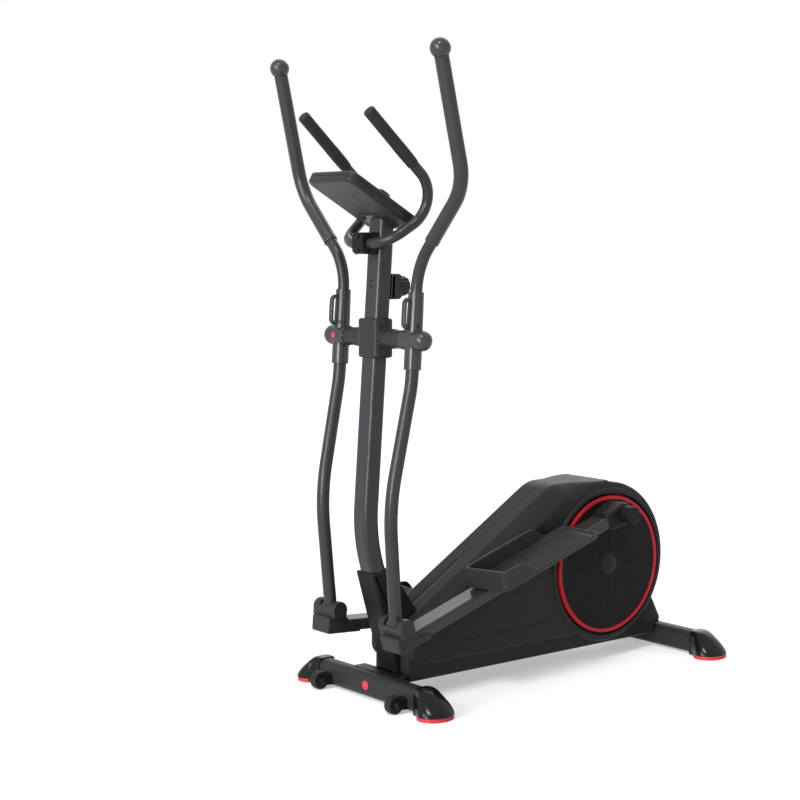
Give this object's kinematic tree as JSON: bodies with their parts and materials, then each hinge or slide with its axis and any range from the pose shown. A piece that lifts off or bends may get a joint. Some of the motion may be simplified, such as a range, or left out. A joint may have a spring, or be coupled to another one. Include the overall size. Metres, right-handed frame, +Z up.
{
  "type": "elliptical_trainer",
  "caption": "Front-console elliptical trainer: bowed mast on two stabilizer feet, swing arms, foot rails with pedals, and a covered belt-driven crank.",
  "frame": {"origin": "on the floor under the middle of the bounding box", "axes": "+Z up, +X to the user's left, the user stands at +Y and faces -Y"},
  "size_m": [0.6699, 1.1479, 1.5685],
  "materials": {
    "frame_paint": "satin charcoal powder coat",
    "cover_plastic": "satin black moulded plastic",
    "trim_plastic": "fine-grained black plastic",
    "console_plastic": "fine-grained grey plastic",
    "pedal_plastic": "moulded dark grey plastic",
    "ring_plastic": "gloss red plastic",
    "pad_rubber": "red rubber sole",
    "grip_foam": "closed-cell foam",
    "wheel_plastic": "hard black plastic",
    "belt_rubber": "ribbed drive belt",
    "bright_steel": "zinc-plated steel",
    "flywheel_iron": "turned cast iron",
    "screen_glass": "clear window over a grey display",
    "button_rubber": "soft grey keys"
  },
  "bodies": {
    "frame": {"main_frame": "frame_paint", "front_stabilizer": "frame_paint", "rear_stabilizer": "frame_paint", "foot_caps": "trim_plastic", "foot_pads": "pad_rubber", "frame_bolts": "bright_steel", "mast": "frame_paint", "mast_boot": "trim_plastic", "left_side_cover": "cover_plastic", "right_side_cover": "cover_plastic", "cover_screws": "bright_steel", "pivot_axle": "bright_steel", "pivot_cover_front": "trim_plastic", "pivot_cover_rear": "trim_plastic", "fixed_handlebar": "frame_paint", "handlebar_clamp": "frame_paint", "fixed_grips": "grip_foam", "console_back": "console_plastic", "console_front": "trim_plastic", "console_screen": "screen_glass", "tension_housing": "trim_plastic", "crank_bearings": "bright_steel", "flywheel_axle": "bright_steel", "drive_belt": "belt_rubber"},
    "crank": {"crank_axle": "bright_steel", "drive_pulley": "wheel_plastic", "left_crank_arm": "frame_paint", "right_crank_arm": "frame_paint", "left_disc": "cover_plastic", "right_disc": "cover_plastic", "rim_rings": "ring_plastic", "hub_caps": "cover_plastic"},
    "flywheel": {"flywheel": "flywheel_iron"},
    "brake": {"magnet_brake": "bright_steel"},
    "tension_dial": {"tension_knob": "trim_plastic"},
    "left_wheel": {"left_transport_wheel": "wheel_plastic"},
    "right_wheel": {"right_transport_wheel": "wheel_plastic"},
    "mode_key": {"mode_button": "button_rubber"},
    "set_key": {"set_button": "button_rubber"},
    "reset_key": {"reset_button": "button_rubber"},
    "left_arm": {"left_lower_arm": "frame_paint", "left_arm_hub": "trim_plastic", "left_upper_arm": "frame_paint", "left_arm_grip": "grip_foam", "left_arm_balls": "trim_plastic"},
    "left_footrail": {"left_rail": "frame_paint", "left_rail_clevis": "trim_plastic", "left_rail_end_cover": "trim_plastic", "left_rail_pins": "bright_steel", "left_pedal": "pedal_plastic"},
    "right_arm": {"right_lower_arm": "frame_paint", "right_arm_hub": "trim_plastic", "right_upper_arm": "frame_paint", "right_arm_grip": "grip_foam", "right_arm_balls": "trim_plastic"},
    "right_footrail": {"right_rail": "frame_paint", "right_rail_clevis": "trim_plastic", "right_rail_end_cover": "trim_plastic", "right_rail_pins": "bright_steel", "right_pedal": "pedal_plastic"}
  },
  "joints": [
    {"name": "crank_spin", "type": "hinge", "parent": "frame", "child": "crank", "pos_m": [0, 0.2804, 0.261], "axis": [1, 0, 0], "continuous": true},
    {"name": "flywheel_spin", "type": "hinge", "parent": "frame", "child": "flywheel", "pos_m": [0, -0.01, 0.247], "axis": [1, 0, 0], "continuous": true},
    {"name": "left_arm_swing", "type": "hinge", "parent": "frame", "child": "left_arm", "pos_m": [0, -0.4295, 0.885], "axis": [1, 0, 0], "range_deg": [-11, 11]},
    {"name": "right_arm_swing", "type": "hinge", "parent": "frame", "child": "right_arm", "pos_m": [0, -0.4295, 0.885], "axis": [1, 0, 0], "range_deg": [-11, 11]},
    {"name": "left_rail_pivot", "type": "hinge", "parent": "left_arm", "child": "left_footrail", "pos_m": [0.1297, -0.47396, 0.20645], "axis": [1, 0, 0], "range_deg": [-11, 11]},
    {"name": "right_rail_pivot", "type": "hinge", "parent": "right_arm", "child": "right_footrail", "pos_m": [-0.1297, -0.47413, 0.20647], "axis": [1, 0, 0], "range_deg": [-11, 11]},
    {"name": "brake_swing", "type": "hinge", "parent": "frame", "child": "brake", "pos_m": [0, -0.11516, 0.18129], "axis": [1, 0, 0], "range_deg": [0, 6]},
    {"name": "tension_turn", "type": "hinge", "parent": "frame", "child": "tension_dial", "pos_m": [0, -0.37, 1.008], "axis": [0, 1, 0], "range_deg": [0, 280]},
    {"name": "left_wheel_spin", "type": "hinge", "parent": "frame", "child": "left_wheel", "pos_m": [0.149, -0.496, 0.0235], "axis": [1, 0, 0], "continuous": true},
    {"name": "right_wheel_spin", "type": "hinge", "parent": "frame", "child": "right_wheel", "pos_m": [-0.149, -0.496, 0.0235], "axis": [1, 0, 0], "continuous": true},
    {"name": "mode_press", "type": "slide", "parent": "frame", "child": "mode_key", "axis": [0, -0.4939, -0.8695], "range_m": [0, 0.002], "stiffness_N_per_m": 400},
    {"name": "set_press", "type": "slide", "parent": "frame", "child": "set_key", "axis": [0, -0.4939, -0.8695], "range_m": [0, 0.002], "stiffness_N_per_m": 400},
    {"name": "reset_press", "type": "slide", "parent": "frame", "child": "reset_key", "axis": [0, -0.4939, -0.8695], "range_m": [0, 0.002], "stiffness_N_per_m": 400}
  ],
  "couplings": [
    {"joint": "flywheel_spin", "follows": "crank_spin", "ratio": 7.8125},
    {"joint": "right_arm_swing", "follows": "left_arm_swing", "ratio": -1},
    {"joint": "left_rail_pivot", "follows": "left_arm_swing", "ratio": -1},
    {"joint": "right_rail_pivot", "follows": "left_arm_swing", "ratio": 1},
    {"joint": "brake_swing", "follows": "tension_turn", "ratio": 0.021429}
  ]
}
